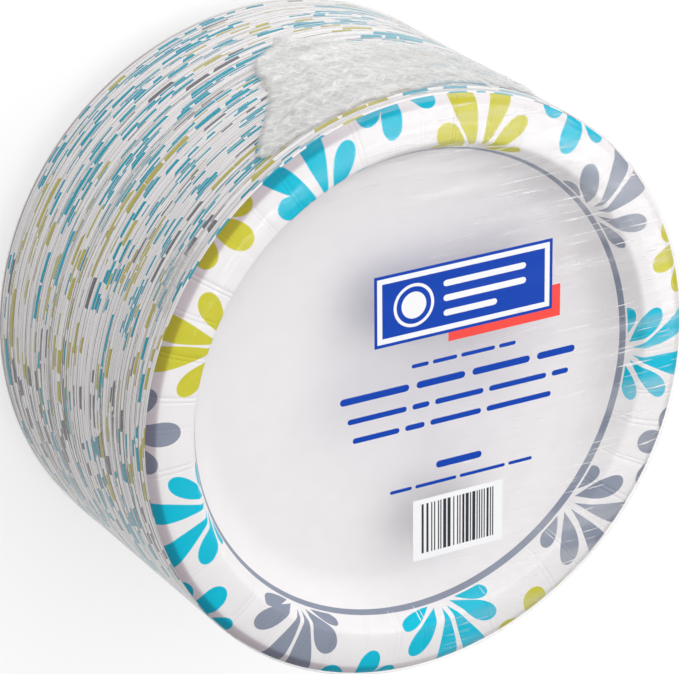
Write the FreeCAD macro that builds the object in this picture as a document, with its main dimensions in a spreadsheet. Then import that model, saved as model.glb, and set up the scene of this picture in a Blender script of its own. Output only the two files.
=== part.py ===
import FreeCAD, Part
import os
import Sketcher

# Stack of paper plates, eating face up, shrunk into a clear film.
# Lengths are in millimetres, +Z is up, and the origin is at the centre of the base.

# Driving dimensions
SIZES = (
    # a plate, 21.9 cm across the lip
    ("plate_radius", 109.5),
    ("lip_width", 2.6),
    ("lip_drop", 2.2),
    ("rim_fall", 1.0),
    ("crest_radius", 93.6),
    ("wall_angle", 60),
    ("foot_angle", 30),
    ("foot_height", 4.5),
    ("dish_depth", 16),
    ("sheet_thickness", 0.45),
    # the nested stack
    ("plate_count", 125),
    ("nest_clearance", 0.042),
    ("plates_per_groove", 42),
    ("groove_width", 0.94),
    ("groove_depth", 0.7),
    # the film round it
    ("film_thickness", 0.2),
    ("film_clearance", 0.05),
    ("vent_radius", 3),
)

# Slopes of the stretches of a plate's section; rim and lip fall outwards, the others rise
FOOT = "(Sizes.foot_angle * 1 deg)"
WALL = "(Sizes.wall_angle * 1 deg)"
RIM = "atan(Sizes.rim_fall / (Sizes.plate_radius - Sizes.lip_width - Sizes.crest_radius))"
LIP = "atan(Sizes.lip_drop / Sizes.lip_width)"

# Radii where a plate's section changes
SHOULDER_RADIUS = "(Sizes.plate_radius - Sizes.lip_width)"
FOOT_RADIUS = f"(Sizes.crest_radius - (Sizes.dish_depth - Sizes.foot_height) / tan({WALL}))"
FLOOR_RADIUS = f"({FOOT_RADIUS} - Sizes.foot_height / tan({FOOT}))"

# Nested plates settle until their walls meet, so the wall's slope sets the step from plate to plate
PITCH = f"(Sizes.sheet_thickness / cos({WALL}) + Sizes.nest_clearance)"

# Heights of the eating face of three plates, and of the lowest lip
LOWEST_FLOOR = "(Sizes.film_thickness + Sizes.film_clearance + Sizes.sheet_thickness)"
SECOND_FLOOR = f"({LOWEST_FLOOR} + (Sizes.plate_count - 2) * {PITCH})"
TOP_FLOOR = f"({LOWEST_FLOOR} + (Sizes.plate_count - 1) * {PITCH})"
LIP_HEIGHT = "(Sizes.dish_depth - Sizes.rim_fall - Sizes.lip_drop)"
LOWEST_LIP = f"({LOWEST_FLOOR} + {LIP_HEIGHT})"

# How a sketch numbers its origin, its two axes and the ends of a line
ORIGIN = -1
CROSS_AXIS = -1
UP_AXIS = -2
LINE_START = 1
LINE_END = LINE_START + 1

doc = FreeCAD.newDocument("plate_stack")


def make_sizes():
    """The sheet that holds the driving dimensions, each under its own alias."""
    sheet = doc.addObject("Spreadsheet::Sheet", "Sizes")
    for row, (alias, value) in enumerate(SIZES, start=1):
        sheet.set(f"A{row}", alias)
        sheet.set(f"B{row}", str(value))
        sheet.setAlias(f"B{row}", alias)
    doc.recompute()
    return sheet


def upper_face(floor):
    """Corners of a plate's eating face, from the axis out to the lip, over a floor at that height."""
    crest = f"{floor} + Sizes.dish_depth"
    return [
        ("0", floor),
        (FLOOR_RADIUS, floor),
        (FOOT_RADIUS, f"{floor} + Sizes.foot_height"),
        ("Sizes.crest_radius", crest),
        (SHOULDER_RADIUS, f"{crest} - Sizes.rim_fall"),
        ("Sizes.plate_radius", f"{floor} + {LIP_HEIGHT}"),
    ]


def lower_face(floor):
    """Corners of the same plate's underside, one paper thickness square to each stretch."""
    slopes = ["0 deg", "0 deg", FOOT, WALL, f"-{RIM}", f"-{LIP}", f"-{LIP}"]
    corners = []
    for (radius, height), inner, outer in zip(upper_face(floor), slopes, slopes[1:]):
        half_turn = f"(({outer}) - ({inner})) / 2"
        lean = f"(({outer}) + ({inner})) / 2"
        reach = f"Sizes.sheet_thickness / cos({half_turn})"
        outward = radius if radius == "0" else f"{radius} + {reach} * sin({lean})"
        corners.append((outward, f"{height} - {reach} * cos({lean})"))
    return corners


def attach(sketch, body, role):
    """Lays a sketch on one of its own body's origin planes."""
    plane = next(item for item in body.Origin.OriginFeatures if item.Role == role)
    sketch.AttachmentSupport = (plane, "")
    sketch.MapMode = "FlatFace"


def draw_outline(body, name, corners):
    """A closed section in the XZ plane, through corners given as formulas for radius and height."""
    sketch = body.newObject("Sketcher::SketchObject", name)
    attach(sketch, body, "XZ_Plane")
    places = []
    for radius, height in corners:
        across = sizes.evalExpression(f"({radius}) * 1")
        up = sizes.evalExpression(f"({height}) * 1")
        places.append(FreeCAD.Vector(float(across), float(up), 0))
    for here, there in zip(places, places[1:] + places[:1]):
        sketch.addGeometry(Part.LineSegment(here, there), False)

    for side, (corner, place) in enumerate(zip(corners, places)):
        before = (side - 1) % len(corners)
        sketch.addConstraint(Sketcher.Constraint("Coincident", before, LINE_END, side, LINE_START))
        for letter, formula, value, axis in zip("XY", corner, place, (UP_AXIS, CROSS_AXIS)):
            if formula == "0":
                sketch.addConstraint(Sketcher.Constraint("PointOnObject", side, LINE_START, axis))
                continue
            place_rule = ("Distance" + letter, ORIGIN, LINE_START, side, LINE_START, value)
            number = sketch.addConstraint(Sketcher.Constraint(*place_rule))
            rule_name = f"corner_{side}_{letter.lower()}"
            sketch.renameConstraint(number, rule_name)
            sketch.setExpression(f"Constraints.{rule_name}", formula)
    return sketch


def turn(body, name, sketch):
    """Revolves a section once round the stack's axis."""
    solid = body.newObject("PartDesign::Revolution", name)
    solid.Profile = sketch
    solid.ReferenceAxis = (sketch, ["V_Axis"])
    solid.Angle = 360
    sketch.Visibility = False
    return solid


def new_body(label):
    """An empty body under its own label, standing at the origin."""
    body = doc.addObject("PartDesign::Body", label)
    body.Label = label
    body.Placement = FreeCAD.Placement()
    return body


def make_top_plate():
    """The plate that shows: one pressed sheet with a flat floor, a wall, a rim and a turned-down lip."""
    body = new_body("plate_top")
    corners = upper_face(TOP_FLOOR) + lower_face(TOP_FLOOR)[::-1]
    section = draw_outline(body, "plate_top_section", corners)
    body.Tip = turn(body, "plate_top_sheet", section)
    return body


def make_nested_plates():
    """The plates under it, joined as one block, with a groove between two lips after every so many."""
    body = new_body("plates_nested")
    side_foot = ("Sizes.plate_radius", LOWEST_LIP)
    corners = upper_face(SECOND_FLOOR) + [side_foot] + lower_face(LOWEST_FLOOR)[::-1]
    section = draw_outline(body, "plates_nested_section", corners)
    block = turn(body, "plates_nested_block", section)
    doc.recompute()
    uncut = block.Shape.Volume

    height = f"{LOWEST_LIP} + (Sizes.plates_per_groove - 0.5) * {PITCH}"
    mouth = "Sizes.plate_radius + Sizes.groove_depth"
    notch = draw_outline(
        body,
        "lip_groove_section",
        [
            ("Sizes.plate_radius - Sizes.groove_depth", height),
            (mouth, f"{height} - Sizes.groove_width"),
            (mouth, f"{height} + Sizes.groove_width"),
        ],
    )
    groove = body.newObject("PartDesign::Groove", "lip_groove")
    groove.Profile = notch
    groove.ReferenceAxis = (notch, ["V_Axis"])
    groove.Angle = 360
    doc.recompute()
    if groove.Shape.Volume >= uncut:
        raise RuntimeError("the lip groove cuts nothing")

    count = "floor((Sizes.plate_count - 2) / Sizes.plates_per_groove)"
    grooves = body.newObject("PartDesign::LinearPattern", "lip_grooves")
    grooves.Originals = [groove]
    grooves.Direction = (notch, ["V_Axis"])
    grooves.setExpression("Occurrences", count)
    grooves.setExpression("Length", f"({count} - 1) * Sizes.plates_per_groove * {PITCH}")
    body.Tip = grooves
    return body


def make_film():
    """The clear film: flat over the dish, down over rim and lips, and drawn in under the lowest plate."""
    body = new_body("wrap_film")
    gap = "Sizes.film_clearance"
    film = "Sizes.film_thickness"
    top = f"{TOP_FLOOR} + Sizes.dish_depth + {gap}"
    lip = f"{TOP_FLOOR} + {LIP_HEIGHT} + {gap}"
    side = f"Sizes.plate_radius + {gap}"
    side_foot = f"{LOWEST_LIP} - Sizes.sheet_thickness * cos({LIP}) - {gap}"
    base = f"({FOOT_RADIUS} + {FLOOR_RADIUS}) / 2"
    corners = [
        ("0", top),
        (SHOULDER_RADIUS, top),
        (side, lip),
        (side, side_foot),
        (base, film),
        ("Sizes.vent_radius", film),
        ("Sizes.vent_radius", "0"),
        (base, "0"),
        (f"{side} + {film}", f"{side_foot} - {film} / 2"),
        (f"{side} + {film}", f"{lip} + {film} / 2"),
        (f"{SHOULDER_RADIUS} + {film} / 2", f"{top} + {film}"),
        ("0", f"{top} + {film}"),
    ]
    section = draw_outline(body, "wrap_film_section", corners)
    body.Tip = turn(body, "wrap_film_shell", section)
    return body


def check(parts):
    """Stops if any object failed or any part is not one sound solid."""
    doc.recompute()
    for item in doc.Objects:
        if "Invalid" in item.State or "Error" in item.State:
            raise RuntimeError(f"{item.Name} failed: {item.State}")
    for part in parts:
        if part.Shape.isNull() or not part.Shape.isValid() or len(part.Shape.Solids) != 1:
            raise RuntimeError(f"{part.Label} is not one sound solid")


sizes = make_sizes()
parts = [make_top_plate(), make_nested_plates(), make_film()]
check(parts)
os.makedirs("parts", exist_ok=True)
for part in parts:
    part.Shape.exportStep(f"parts/{part.Label}.step")
    box = part.Shape.BoundBox
    print(f"{part.Label}: volume {part.Shape.Volume:.0f}, z {box.ZMin:.2f} to {box.ZMax:.2f}")
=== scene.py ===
"""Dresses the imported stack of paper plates: printed pressed sheets, clear shrunk film and a pale studio."""
import sys
import logging
import math
import random
from dataclasses import dataclass, field
from enum import Enum
from typing import Any, Sequence

import bpy
from mathutils import Matrix, Vector, noise
from mathutils.geometry import delaunay_2d_cdt


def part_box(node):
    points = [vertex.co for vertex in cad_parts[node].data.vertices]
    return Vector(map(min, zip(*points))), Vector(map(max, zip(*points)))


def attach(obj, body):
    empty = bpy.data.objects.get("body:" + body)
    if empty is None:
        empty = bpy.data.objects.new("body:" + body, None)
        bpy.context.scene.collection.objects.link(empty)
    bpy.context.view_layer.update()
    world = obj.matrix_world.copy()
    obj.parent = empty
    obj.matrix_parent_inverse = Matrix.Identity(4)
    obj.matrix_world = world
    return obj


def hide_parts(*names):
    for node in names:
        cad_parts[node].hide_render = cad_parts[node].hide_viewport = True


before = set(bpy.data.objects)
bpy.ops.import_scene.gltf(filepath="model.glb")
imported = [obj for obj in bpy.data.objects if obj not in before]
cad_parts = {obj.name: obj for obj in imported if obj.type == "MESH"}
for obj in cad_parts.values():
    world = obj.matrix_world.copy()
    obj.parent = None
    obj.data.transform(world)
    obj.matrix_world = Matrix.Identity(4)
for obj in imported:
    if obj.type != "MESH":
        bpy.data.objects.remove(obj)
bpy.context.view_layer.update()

LOG = logging.getLogger("plate_stack")

MM = 0.001
WHOLE_TURN = 2 * math.pi
FILM_MAP = "film_map"
# Mesh attribute: the film's strain, and on the top plate the share of painted shade on its lip.
STRAIN_AND_LIP_SHADE = "strain"

Point2 = tuple[float, float]
Point3 = tuple[float, float, float]
Colour = tuple[float, float, float, float]
Ring = list[tuple[float, int]]


class Ink(Enum):
    """What a patch of board shows: bare coating, one of the three printed inks, or the raw cut edge (on
    nested lips, also a painted gap shadow).
    """

    BARE = 0
    TEAL = 1
    LIME = 2
    GREY = 3
    CUT_AND_GAP_SHADOW = 4


class Skin(Enum):
    """What a patch of film shows: clear film, or one of the inks printed on it."""

    CLEAR = 0
    BLUE = 1
    WHITE = 2
    DARK = 3
    RED = 4


def hex_to_linear(code: str) -> Colour:
    """Turns an sRGB hex colour into linear light.

    Args:
        code: six hex digits with a leading mark, such as "#E8E5E6".

    Returns:
        Red, green, blue and an alpha of 1.
    """
    channels = [int(code[place:place + 2], 16) / 255 for place in (1, 3, 5)]
    red, green, blue = (c / 12.92 if c <= 0.04045 else ((c + 0.055) / 1.055) ** 2.4 for c in channels)
    return red, green, blue, 1.0


def smooth_step(low: float, high: float, value: float) -> float:
    """Rises smoothly from 0 at low to 1 at high."""
    share = min(1.0, max(0.0, (value - low) / (high - low)))
    return share * share * (3 - 2 * share)


def per_mm(size_mm: float) -> float:
    """A texture scale that gives one feature every so many millimetres in a model in metres."""
    return 1 / (size_mm * MM)


def add_node(
    tree: bpy.types.NodeTree, kind: str, feeds: dict[Any, Any] | None = None, out: Any = 0, **settings: Any
) -> Any:
    """Adds a node with its settings, socket values and links.

    Args:
        tree: the material's or world's node tree.
        kind: the node's type name without its leading "ShaderNode".
        feeds: for an input's name or number, either a value or the output socket that feeds it.
        out: name or number of the output to give back.
        settings: attributes of the node itself.

    Returns:
        The output socket, or the node where out is None.
    """
    node = tree.nodes.new("ShaderNode" + kind)
    for name, value in settings.items():
        setattr(node, name, value)
    for name, value in (feeds or {}).items():
        if isinstance(value, bpy.types.NodeSocket):
            tree.links.new(value, node.inputs[name])
        else:
            node.inputs[name].default_value = value
    return node if out is None else node.outputs[out]


def start_material(name: str) -> tuple[bpy.types.Material, bpy.types.NodeTree]:
    """Starts an empty node material.

    Args:
        name: the material's name.

    Returns:
        The material and its empty node tree.
    """
    material = bpy.data.materials.new(name)
    material.use_nodes = True
    material.node_tree.nodes.clear()
    return material, material.node_tree


def mix_tones(tree: bpy.types.NodeTree, share: Any, tint: str, shade: str) -> Any:
    """Gives a colour that goes from a tint to a shade, both hex, as the share's socket goes from 0 to 1."""
    feeds = {0: share, 6: hex_to_linear(tint), 7: hex_to_linear(shade)}
    return add_node(tree, "Mix", feeds, 2, data_type="RGBA")


def on_circle(radius: float, angle: float, height: float) -> Point3:
    """A point at a radius and an angle round the part's axis, and at a height."""
    return radius * math.cos(angle), radius * math.sin(angle), height


def doubled_area(a: Sequence[float], b: Sequence[float], c: Sequence[float]) -> float:
    """Twice the area of a flat triangle, above 0 where it winds anticlockwise."""
    return (b[0] - a[0]) * (c[1] - a[1]) - (c[0] - a[0]) * (b[1] - a[1])


# Finishes


@dataclass(frozen=True)
class CoatedBoard:
    """Clay-coated paperboard, printed and then pressed: a smooth satin skin over faint fibre cockle."""

    name: str
    tint: str
    shade: str
    roughness: float = 0.42
    cockle_mm: float = 6.0
    fibre_mm: float = 0.5
    relief_mm: float = 0.04
    gloss_level: float = 0.05
    # Grey multiplied into the tone where the mesh asks for painted shade on the lip.
    painted_lip_shade: str = "#C6BEC4"

    def build(self) -> bpy.types.Material:
        """Makes the material: its tone drifts, fibre breaks up the sheen, and a painted shade greys the lip.

        Returns:
            The material.
        """
        material, tree = start_material(self.name)
        place = add_node(tree, "TexCoord", out="Object")
        drift, fibre = (
            add_node(tree, "TexNoise", {"Vector": place, "Scale": per_mm(size), "Detail": detail}, "Fac")
            for size, detail in ((self.cockle_mm, 3.0), (self.fibre_mm, 4.0))
        )
        tone = mix_tones(tree, drift, self.tint, self.shade)
        # Painted shade: the mesh attribute's share multiplies the tone by the lip's grey, standing in for the
        # lip's shade.
        lip_shade_share = add_node(tree, "Attribute", out="Fac", attribute_name=STRAIN_AND_LIP_SHADE)
        feeds = {0: lip_shade_share, 6: tone, 7: hex_to_linear(self.painted_lip_shade)}
        tone = add_node(tree, "Mix", feeds, 2, data_type="RGBA", blend_type="MULTIPLY")
        feeds = {"Value": fibre, "To Min": self.roughness - 0.06, "To Max": self.roughness + 0.1}
        rough = add_node(tree, "MapRange", feeds)
        relief = add_node(tree, "Math", {0: drift, 1: fibre}, operation="ADD")
        bump = add_node(tree, "Bump", {"Strength": 0.3, "Distance": self.relief_mm * MM, "Height": relief})
        feeds = {"Base Color": tone, "Roughness": rough, "Specular IOR Level": self.gloss_level}
        shader = add_node(tree, "BsdfPrincipled", {**feeds, "Normal": bump})
        add_node(tree, "OutputMaterial", {"Surface": shader}, None)
        return material


@dataclass(frozen=True)
class ShrunkFilm:
    """Polyolefin film, blown thin and shrunk by heat: clear and glossy, with milky stretch marks.

    The eye sees it by its reflections, by broad faint bands that run along the pull, and by fine
    pale hairlines where it is strained most."""

    name: str
    haze: float = 0.003
    band_mm: Point2 = (110.0, 8.0)
    band_haze: float = 0.22
    hairline_mm: Point2 = (26.0, 0.9)
    hairline_haze: float = 0.75
    crumple_mm: float = 0.0
    crumple_haze: float = 0.0
    tint: str = "#F1F0EF"
    # Colour of the painted shadow in the crumpled film's folds.
    painted_fold_shadow: str = "#DADAD8"
    gloss_roughness: float = 0.06
    mirror: float = 0.008

    def noise_along(
        self, tree: bpy.types.NodeTree, place: Any, size: Point2, detail: float, turn: float = 0.0
    ) -> Any:
        """Noise drawn out along the pull.

        Args:
            tree: the material's node tree.
            place: the socket with the place on the film in metres.
            size: length and width of one mark in millimetres.
            detail: how many finer layers it has.
            turn: how far the pull is turned, in radians.

        Returns:
            The noise's value socket.
        """
        turned = add_node(tree, "Mapping", {"Vector": place, "Rotation": (0.0, 0.0, turn)})
        scale = (per_mm(size[0]), per_mm(size[1]), 1.0)
        stretched = add_node(tree, "Mapping", {"Vector": turned, "Scale": scale})
        feeds = {"Vector": stretched, "Scale": 1.0, "Detail": detail, "Roughness": 0.5}
        return add_node(tree, "TexNoise", feeds, "Fac", noise_dimensions="2D")

    def build(self) -> bpy.types.Material:
        """Makes the material: clear film, glossier at a slant, with haze where it is strained or creased, and
        a painted shadow in crumpled folds.

        Returns:
            The material.
        """
        material, tree = start_material(self.name)
        place = add_node(tree, "UVMap", uv_map=FILM_MAP)
        strain = add_node(tree, "Attribute", out="Fac", attribute_name=STRAIN_AND_LIP_SHADE)
        bands = self.noise_along(tree, place, self.band_mm, 2.0)
        feeds = {"Value": bands, "From Min": 0.38, "From Max": 0.72, "To Max": self.band_haze}
        band_share = add_node(tree, "MapRange", feeds)
        hairs = self.noise_along(tree, place, self.hairline_mm, 3.0)
        feeds = {"Value": hairs, "From Min": 0.66, "From Max": 0.74, "To Max": self.hairline_haze}
        hair_share = add_node(tree, "MapRange", feeds)
        marks = add_node(tree, "Math", {0: hair_share, 1: band_share}, operation="ADD")
        share = add_node(tree, "Math", {0: marks, 1: strain}, operation="MULTIPLY")
        relief, tone = bands, hex_to_linear(self.tint)
        if self.crumple_mm:
            relief, share = self.add_creases(tree, place, strain, share)
            # Painted shadow: the base colour darkens towards the creases' valleys.
            tone = mix_tones(tree, relief, self.painted_fold_shadow, self.tint)
        milk = add_node(tree, "Math", {0: share, 1: self.haze}, operation="ADD", use_clamp=True)
        bump = add_node(tree, "Bump", {"Strength": 0.4, "Distance": 0.08 * MM, "Height": relief})
        clear = add_node(tree, "BsdfTransparent")
        gloss = add_node(tree, "BsdfGlossy", {"Roughness": self.gloss_roughness, "Normal": bump})
        facing = add_node(tree, "LayerWeight", {"Blend": 0.5, "Normal": bump}, "Facing")
        grazing = add_node(tree, "Math", {0: facing, 1: 4.5}, operation="POWER")
        mirror = add_node(tree, "MapRange", {"Value": grazing, "To Min": self.mirror, "To Max": 0.8})
        pane = add_node(tree, "MixShader", {0: mirror, 1: clear, 2: gloss})
        feeds = {"Base Color": tone, "Roughness": 0.5, "Specular IOR Level": 0.25, "Normal": bump}
        body = add_node(tree, "BsdfPrincipled", feeds)
        surface = add_node(tree, "MixShader", {0: milk, 1: pane, 2: body})
        add_node(tree, "OutputMaterial", {"Surface": surface}, None)
        return material

    def add_creases(self, tree: bpy.types.NodeTree, place: Any, strain: Any, share: Any) -> tuple[Any, Any]:
        """Adds crossing creases, milkier along their ridges.

        Args:
            tree: the material's node tree.
            place: the socket with the place on the film in metres.
            strain: the socket that says how strained the film is.
            share: the socket with the haze so far.

        Returns:
            The sockets with the ridges' height and with the haze.
        """
        wide = self.crumple_mm
        creases = [
            self.noise_along(tree, place, (wide * long, wide), 3.0, math.radians(degrees))
            for long, degrees in ((7, 28), (5, 48), (9, 75), (4, 140))
        ]
        ridges = creases[0]
        for crease in creases[1:]:
            ridges = add_node(tree, "Math", {0: ridges, 1: crease}, operation="MAXIMUM")
        ridges = add_node(tree, "MapRange", {"Value": ridges, "From Min": 0.42, "From Max": 0.85})
        feeds = {"Value": ridges, "From Min": 0.1, "From Max": 0.9, "To Min": 0.72, "To Max": 1.0}
        folds = add_node(tree, "MapRange", feeds)
        milky = add_node(tree, "Math", {0: strain, 1: self.crumple_haze}, operation="MULTIPLY")
        folded = add_node(tree, "Math", {0: folds, 1: milky}, operation="MULTIPLY")
        return ridges, add_node(tree, "Math", {0: share, 1: folded}, operation="ADD")


@dataclass(frozen=True)
class FilmInk:
    """Flexographic ink laid on the film: dense, even and glossy, with a slight roller mottle."""

    name: str
    tint: str
    shade: str
    roughness: float = 0.3
    mottle_mm: float = 1.4
    light_through: float = 0.62

    def build(self) -> bpy.types.Material:
        """Makes the material: mottled ink that lets part of the lamps' light through.

        Returns:
            The material.
        """
        material, tree = start_material(self.name)
        place = add_node(tree, "TexCoord", out="Object")
        feeds = {"Vector": place, "Scale": per_mm(self.mottle_mm), "Detail": 2.0}
        mottle = add_node(tree, "TexNoise", feeds, "Fac")
        tone = mix_tones(tree, mottle, self.tint, self.shade)
        feeds = {"Value": mottle, "To Min": self.roughness - 0.05, "To Max": self.roughness + 0.1}
        rough = add_node(tree, "MapRange", feeds)
        feeds = {"Base Color": tone, "Roughness": rough, "Specular IOR Level": 0.04}
        shader = add_node(tree, "BsdfPrincipled", feeds)
        shadow = add_node(tree, "LightPath", out="Is Shadow Ray")
        through = add_node(tree, "Math", {0: shadow, 1: self.light_through}, operation="MULTIPLY")
        clear = add_node(tree, "BsdfTransparent")
        surface = add_node(tree, "MixShader", {0: through, 1: shader, 2: clear})
        add_node(tree, "OutputMaterial", {"Surface": surface}, None)
        return material


# Shapes


@dataclass(frozen=True)
class Bend:
    """A stretch of a plate's section: its length along the board, and its slope at both ends."""

    length: float
    slope_in: float
    slope_out: float
    steps: int
    eased: bool = False

    def slope(self, share: float) -> float:
        """The slope in degrees at a share of the stretch."""
        turned = smooth_step(0.0, 1.0, share) if self.eased else share
        return self.slope_in + (self.slope_out - self.slope_in) * turned


@dataclass
class PlateSection:
    """A plate's eating face from the floor's edge to the lip, as a run of arcs along the board.

    Lengths are in millimetres; heights count from the floor, and slopes rise outwards."""

    radius: float
    depth: float
    board: float = 0.45
    foot_length: float = 17.0
    wall_slope: float = 60.0
    crest_bend: float = 2.4
    rim_length: float = 12.2
    lip_length: float = 4.3
    rim_start_slope: float = 3.0
    rim_end_slope: float = -11.0
    lip_end_slope: float = -50.0
    runs: list[float] = field(default_factory=list)
    points: list[Point2] = field(default_factory=list)
    slopes: list[float] = field(default_factory=list)

    def __post_init__(self) -> None:
        """Finds the wall's length from the dish's depth, then lays the arcs end to end."""
        crest_turn = math.radians(self.wall_slope - self.rim_start_slope)
        foot = Bend(self.foot_length, 0, self.wall_slope, 12, eased=True)
        crest = Bend(self.crest_bend * crest_turn, self.wall_slope, self.rim_start_slope, 6)
        rim = Bend(self.rim_length, self.rim_start_slope, self.rim_end_slope, 8)
        lip = Bend(self.lip_length, self.rim_end_slope, self.lip_end_slope, 6)
        bare = self.trace([foot, crest, rim])
        missing = self.depth - max(height for _, height in bare)
        wall = Bend(missing / math.sin(math.radians(self.wall_slope)), self.wall_slope, self.wall_slope, 5)
        bends = [foot, wall, crest, rim, lip]
        reach = self.trace(bends)[-1][0]
        self.floor_radius = self.radius - reach
        self.points = [(x + self.floor_radius, y) for x, y in self.trace(bends)]
        self.crest_run = foot.length + wall.length + crest.length
        self.wall_foot_run = foot.length
        self.shoulder_run = self.crest_run + rim.length
        self.lip_run = self.shoulder_run + lip.length

    def trace(self, bends: Sequence[Bend]) -> list[Point2]:
        """Lays bends end to end from the floor's edge, and keeps runs and slopes at each point.

        Args:
            bends: the stretches in order.

        Returns:
            Points as distance out from the floor's edge and height over the floor.
        """
        out, up, run = 0.0, 0.0, 0.0
        places = [(out, up)]
        self.runs, self.slopes = [0.0], [bends[0].slope_in]
        for bend in bends:
            step = bend.length / bend.steps
            for number in range(bend.steps):
                middle = bend.slope((number + 0.5) / bend.steps)
                out += step * math.cos(math.radians(middle))
                up += step * math.sin(math.radians(middle))
                run += step
                places.append((out, up))
                self.runs.append(run)
                self.slopes.append(bend.slope((number + 1) / bend.steps))
        return places

    def at(self, run: float) -> tuple[float, float, float]:
        """Radius, height and slope in radians at a run along the board from the floor's edge.

        Args:
            run: millimetres from the floor's edge; below 0 it lies on the flat floor.

        Returns:
            Radius, height, slope.
        """
        if run <= 0:
            return self.floor_radius + run, 0.0, 0.0
        last = len(self.runs) - 1
        place = next((i for i in range(last) if self.runs[i + 1] >= run), last - 1)
        share = (run - self.runs[place]) / (self.runs[place + 1] - self.runs[place])
        (r0, z0), (r1, z1) = self.points[place], self.points[place + 1]
        slope = self.slopes[place] + (self.slopes[place + 1] - self.slopes[place]) * share
        return r0 + (r1 - r0) * share, z0 + (z1 - z0) * share, math.radians(slope)


def cut_level(outline: Sequence[Point2], level: float) -> list[Point2]:
    """Cuts off the part of an outline that lies below a level line.

    Args:
        outline: corners in order.
        level: height of the line.

    Returns:
        The corners of what is left.
    """
    kept = []
    for (x0, y0), (x1, y1) in zip(outline, list(outline[1:]) + [outline[0]]):
        if y0 >= level:
            kept.append((x0, y0))
        if (y0 - level) * (y1 - level) < 0:
            kept.append((x0 + (x1 - x0) * (level - y0) / (y1 - y0), level))
    return kept


@dataclass(frozen=True)
class Petal:
    """A leaf of the border: a drop with its point at the fan's focus side."""

    tip: Point2
    direction: float
    length: float
    width: float
    ink: Ink
    clear_of: float

    def outline(self, steps: int = 26) -> list[Point2]:
        """The drop, cut straight where it would come nearer to the ring than the line it keeps clear of.

        Args:
            steps: how many points it has before the cut.

        Returns:
            Corners, anticlockwise, in millimetres along and across the printed band.
        """
        points = []
        cos_d, sin_d = math.cos(self.direction), math.sin(self.direction)
        for number in range(steps):
            turn = WHOLE_TURN * number / steps
            along = self.length * (1 - math.cos(turn)) / 2
            across = -self.width / 2 * math.sin(turn) * math.sin(turn / 2) ** 1.35 * 1.3
            x = self.tip[0] + along * cos_d - across * sin_d
            points.append((x, self.tip[1] + along * sin_d + across * cos_d))
        return cut_level(points, self.clear_of)


@dataclass
class Border:
    """The printed border: fans of drops that open outwards from the ring, and others in from the lip.

    Places along the band are millimetres on a circle of the working radius; places across it are
    runs along the board from the floor's edge."""

    section: PlateSection
    ring_width: float = 2.6
    ring_gap: float = 0.8
    ring_height: float = 8.0
    working_radius: float = 100.0
    fans: int = 9
    start_degrees: float = 196.0

    def __post_init__(self) -> None:
        """Places the ring on the wall and draws the drops."""
        rise = self.ring_height - self.section.at(self.section.wall_foot_run)[1]
        middle = self.section.wall_foot_run + rise / math.sin(math.radians(self.section.wall_slope))
        self.ring_inner = middle - self.ring_width / 2
        self.ring_outer = middle + self.ring_width / 2
        self.length = WHOLE_TURN * self.working_radius
        self.draw = random.Random(3)
        self.petals = [petal for number in range(self.fans) for petal in self.fan_pair(number)]

    def fan_pair(self, number: int) -> list[Petal]:
        """One fan that opens outwards and the smaller one that follows it, opening inwards.

        Args:
            number: the fan's place round the border.

        Returns:
            Its drops.
        """
        teal, lime, grey = Ink.TEAL, Ink.LIME, Ink.GREY
        outward_inks = (teal, lime, teal, lime, grey, teal, grey, teal, grey)
        inward_inks = (grey, lime, teal, teal, lime, grey, lime, teal, teal)
        step = self.length / self.fans
        middle = math.radians(self.start_degrees) * self.working_radius - number * step
        drops = []
        leans = (-70, -38, -9, 20, 49, 76)
        lengths = (16, 21, 33, 34, 20, 15)
        widths = (6.2, 8.4, 8.8, 9.4, 9.0, 6.0)
        focus = (middle, self.ring_outer - 2.0)
        for lean, long, wide in zip(leans, lengths, widths):
            direction = math.radians(90 - lean + self.draw.gauss(0, 3))
            tip = (focus[0] + 5.5 * math.cos(direction), focus[1] + 5.0 * math.sin(direction))
            drops.append(self.drop(tip, direction, long, wide, outward_inks[number % len(outward_inks)]))
        focus = (middle - step / 2, self.section.lip_run + 12.0)
        for lean, long, wide in zip((-40, 0, 38), (17, 21, 16), (8.4, 9.2, 8.0)):
            direction = math.radians(-90 + lean + self.draw.gauss(0, 4))
            tip = (focus[0] + 3.0 * math.cos(direction), focus[1] + 3.0 * math.sin(direction))
            drops.append(self.drop(tip, direction, long, wide, inward_inks[number % len(inward_inks)]))
        return drops

    def drop(self, tip: Point2, direction: float, long: float, wide: float, ink: Ink) -> Petal:
        """One drop, a little longer or shorter and fuller or slimmer than drawn."""
        longer, fuller = self.draw.uniform(0.92, 1.08), self.draw.uniform(0.9, 1.1)
        return Petal(tip, direction, long * longer, wide * fuller, ink, self.ring_outer + self.ring_gap)

    def spans_at(self, run: float, drift: Point2, spread: float) -> list[tuple[float, float, Ink]]:
        """Where the drops cross a circle near the lip.

        Args:
            run: place across the band, in millimetres along the board.
            drift: how far this plate's print sits off its blank, in millimetres along X and Y.
            spread: how much the ink creeps or shrinks at each side, in millimetres.

        Returns:
            Start and end angles in radians with their ink, in order of start.
        """
        spans = []
        for petal in self.petals:
            corners = petal.outline()
            middle = sum(x for x, _ in corners) / len(corners) / self.working_radius
            level = run + drift[0] * math.cos(middle) + drift[1] * math.sin(middle)
            crossings = []
            for (x0, y0), (x1, y1) in zip(corners, corners[1:] + corners[:1]):
                if (y0 - level) * (y1 - level) < 0:
                    crossings.append(x0 + (x1 - x0) * (level - y0) / (y1 - y0))
            if len(crossings) >= 2 and max(crossings) - min(crossings) + 2 * spread > 0.4:
                start = (min(crossings) - spread) / self.working_radius
                end = (max(crossings) + spread) / self.working_radius
                spans.append((start, end, petal.ink))
        return sorted(spans, key=lambda span: span[0])


def box(left: float, low: float, right: float, high: float) -> list[Point2]:
    """A rectangle's corners, anticlockwise."""
    return [(left, low), (right, low), (right, high), (left, high)]


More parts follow.
